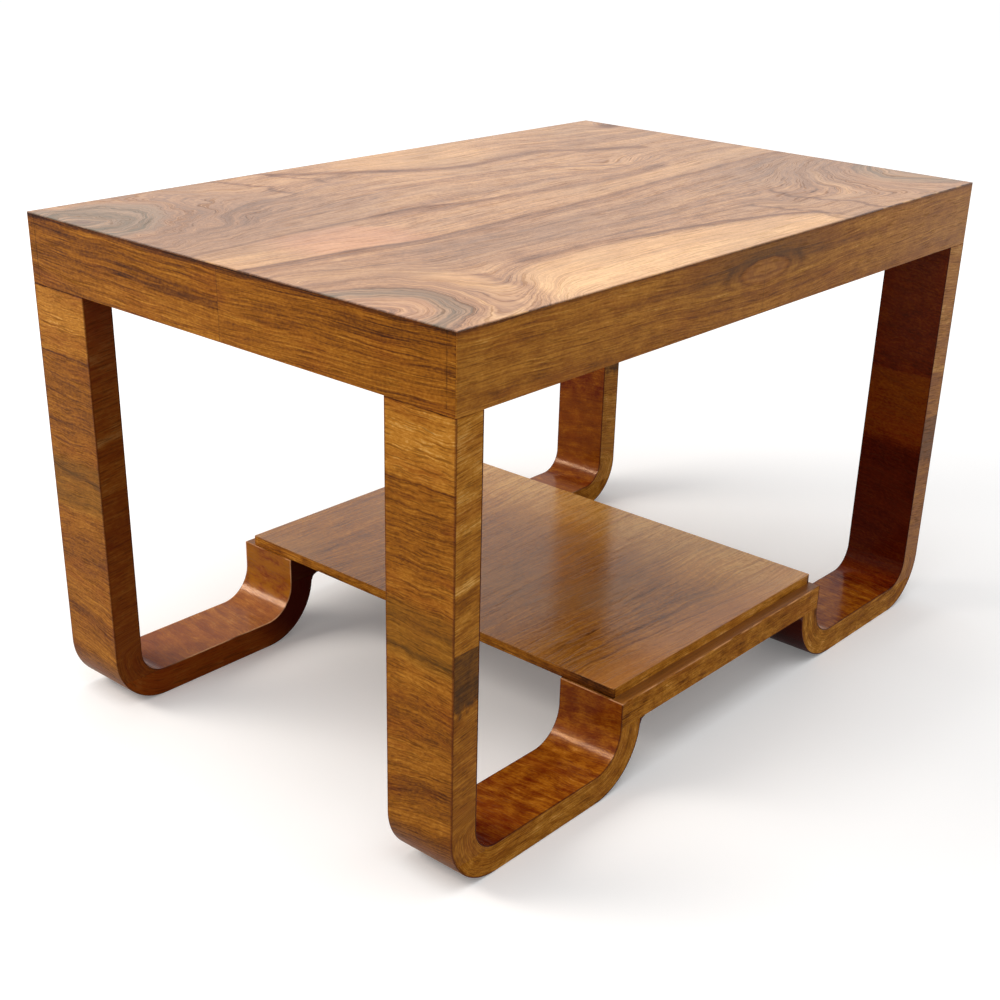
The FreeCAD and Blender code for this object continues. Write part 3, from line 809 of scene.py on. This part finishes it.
def make_timber(name, palette, dullness, long_axis, shine=0.3):
    """Plain sawn or stained timber with the grain along one axis."""
    paint = Paint(name)
    axes = {"x": paint.x, "y": paint.y, "z": paint.z}
    along = axes.pop(long_axis)
    first, second = axes.values()
    heart = ((first - PITH[0]).squared() + (second - PITH[1]).squared()).root()
    rings = heart + paint.noise(along / 300, first / 40, second / 40) * 6
    flecks = paint.noise(along / 4, first / 0.8, second / 0.8, detail=0).rise(0.3, 0.6)
    bands = paint.noise(along / 900, rings / 5, 1.5)
    fibre = paint.noise(along / 60, first / 1.4, second / 1.4)
    colour = paint.ramp(0.5 + bands * 0.35 + fibre * 0.2 - flecks * 0.12, palette)
    return paint.polish(colour, dullness + fibre * 0.08, fibre - flecks, 0.06, shine)


def make_steel():
    """Screw steel, dulled and scratched."""
    paint = Paint("screw_steel")
    scratch = paint.noise(paint.x / 0.3, paint.y / 6, paint.z / 6)
    stain = paint.noise(paint.x / 3, paint.y / 3, paint.z / 3, detail=3)
    shader = paint.node("ShaderNodeBsdfPrincipled", {
        "Base Color": paint.ramp(0.5 + stain * 0.5, STEEL),
        "Metallic": 1,
        "Roughness": 0.4 + scratch * 0.12,
    })
    return paint.surface(shader)


def make_materials():
    """Material for each ending of a node's name."""
    beech = {axis: make_timber(f"beech_{axis}", BEECH, 0.6, axis) for axis in "xz"}
    pine = {axis: make_timber(f"pine_{axis}", PINE, 0.65, axis) for axis in "xyz"}
    # Its darkness is partly painted shade on the risers' inner faces and in the coves.
    shaded_dark_beech = make_timber("shaded_dark_beech", SHADED_DARK_BEECH, 0.4, "y", 0.06)
    long_apron = make_long_apron_veneer()
    end_apron = make_end_apron_veneer()
    return {
        "front_apron_veneer": long_apron,
        "back_apron_veneer": long_apron,
        "left_apron_veneer": end_apron,
        "right_apron_veneer": end_apron,
        "corner_strips": end_apron,
        "leg_outer_veneer": make_leg_veneer(),
        "inner_veneer": make_inner_veneer(),
        "leg_edge_veneer": make_leg_edge_veneer(),
        "foot_edge_veneer": make_foot_edge_veneer(),
        "rail_edge_veneer": make_rail_edge_veneer(),
        "riser_veneers": shaded_dark_beech,
        "rail_coves": shaded_dark_beech,
        "shelf_rail": make_timber("brown_beech", BROWN_BEECH, 0.4, "x"),
        "top_veneer": make_top_veneer(),
        "shelf_veneer": make_shelf_veneer(),
        "shelf_lippings": make_lipping(),
        "shelf_panel": make_timber("shelf_core", BEECH, 0.55, "x"),
        "top_panel": make_timber("top_core", PINE, 0.6, "x"),
        "front_apron": pine["x"],
        "back_apron": pine["x"],
        "left_apron": pine["y"],
        "right_apron": pine["y"],
        "glue_block": pine["z"],
        "_leg": beech["z"],
        "_bend": beech["x"],
        "_foot": beech["x"],
        "tenons": beech["z"],
        "shelf_screws": make_steel(),
    }


def soften(piece):
    """Breaks the sharp edges of a piece."""
    weld = piece.modifiers.new("joined_corners", "WELD")
    weld.merge_threshold = WELD_DISTANCE
    bevel = piece.modifiers.new("softened_edges", "BEVEL")
    bevel.width = EDGE_WIDTH
    bevel.segments = 2
    bevel.limit_method = "ANGLE"
    bevel.angle_limit = SHARP_ANGLE
    shading = piece.modifiers.new("even_shading", "WEIGHTED_NORMAL")
    shading.weight = 50


def dress():
    """Gives every node its material, and the visible ones softened edges."""
    materials = make_materials()
    for name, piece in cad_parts.items():
        ending = max((key for key in materials if name.endswith(key)), key=len)
        for slot in piece.material_slots:
            slot.material = materials[ending]
        if "veneer" in name or name in SOFTENED_PIECES:
            soften(piece)


def seen_share(tree):
    """1 for rays that show the background: straight to the camera, mirrored or through glass."""
    path = tree.nodes.new("ShaderNodeLightPath")
    direct, mirrored, through = (
        Field(tree, path.outputs[f"Is {kind} Ray"]) for kind in ("Camera", "Glossy", "Transmission")
    )
    return direct.most(mirrored).most(through)


def make_floor():
    """Pale floor that reads as white where nothing shades it."""
    corners = [(x * FLOOR_HALF, y * FLOOR_HALF, 0) for x, y in ((-1, -1), (1, -1), (1, 1), (-1, 1))]
    mesh = bpy.data.meshes.new("floor")
    mesh.from_pydata(corners, [], [(0, 1, 2, 3)])
    floor = bpy.data.objects.new("floor", mesh)
    bpy.context.scene.collection.objects.link(floor)
    paint = Paint("pale_floor")
    seen = seen_share(paint.tree)
    away = (paint.x.squared() + paint.y.squared()).root().rise(*FLOOR_FADE)
    diffuse = paint.node("ShaderNodeBsdfDiffuse", {
        "Color": paint.mix(FLOOR_SHADE, FLOOR_SEEN, seen),
    })
    glow = paint.node("ShaderNodeEmission", {
        "Color": WHITE,
        "Strength": seen * (away * 0.3 + 0.12),
    })
    both = paint.node("ShaderNodeAddShader", {0: diffuse, 1: glow})
    mesh.materials.append(paint.surface(both))


def make_world():
    """White surroundings that light the table less than they show."""
    world = bpy.data.worlds.new("studio")
    world.use_nodes = True
    tree = world.node_tree
    strength = seen_share(tree) * (1 - WORLD_STRENGTH) + WORLD_STRENGTH
    background = tree.nodes["Background"]
    feed(tree, background.inputs["Color"], WHITE)
    feed(tree, background.inputs["Strength"], strength)
    bpy.context.scene.world = world


def make_softbox(name, place, sides, power, run, colour=(1, 1, 1)):
    """Rectangular lamp that faces the table, with its first side along the given run."""
    lamp = bpy.data.lights.new(name, "AREA")
    lamp.size, lamp.size_y = sides
    lamp.energy = power
    lamp.color = colour
    lamp.shape = "RECTANGLE"
    box = bpy.data.objects.new(name, lamp)
    back = (Vector(place) - (cad_low + cad_high) / 2).normalized()
    up = back.cross(Vector(run)).normalized()
    turn = Matrix((up.cross(back), up, back)).transposed()
    box.matrix_world = Matrix.Translation(place) @ turn.to_4x4()
    bpy.context.scene.collection.objects.link(box)
    return box


def make_lamps():
    """Soft light from above and from the back left, where the lamp itself isn't mirrored."""
    make_softbox("overhead", (-0.5, -0.3, 3.2), (2.6, 2.6), 42, (1, 0, 0))
    side = make_softbox("back_left", (-1.72, 1.8, 1.83), (2.0, 0.8), 46, LAMP_SLANT, WARM)
    side.visible_glossy = False


def make_bend_light():
    """Strip lamp that shows only as the highlight in the bends inside the legs and feet."""
    strip = make_softbox("bend_strip", (-1.7, 1.78, 1.81), (2.2, 0.6), 230, LAMP_SLANT, WARMER)
    strip.visible_diffuse = False
    bends = bpy.data.collections.new("polished_bends")
    for name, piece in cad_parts.items():
        if name.endswith("inner_veneer"):
            bends.objects.link(piece)
    strip.light_linking.receiver_collection = bends


def make_camera():
    """Camera at the photograph's viewing angle."""
    data = bpy.data.cameras.new("camera")
    data.sensor_width = SENSOR
    data.lens = LENS
    data.shift_x, data.shift_y = FRAME_SHIFT
    camera = bpy.data.objects.new("camera", data)
    camera.location = CAMERA_PLACE
    camera.rotation_euler = [math.radians(angle) for angle in CAMERA_TURN]
    bpy.context.scene.collection.objects.link(camera)
    bpy.context.scene.camera = camera


make_camera()
dress()
make_floor()
make_world()
make_lamps()
make_bend_light()
bpy.context.scene.view_settings.view_transform = "Standard"
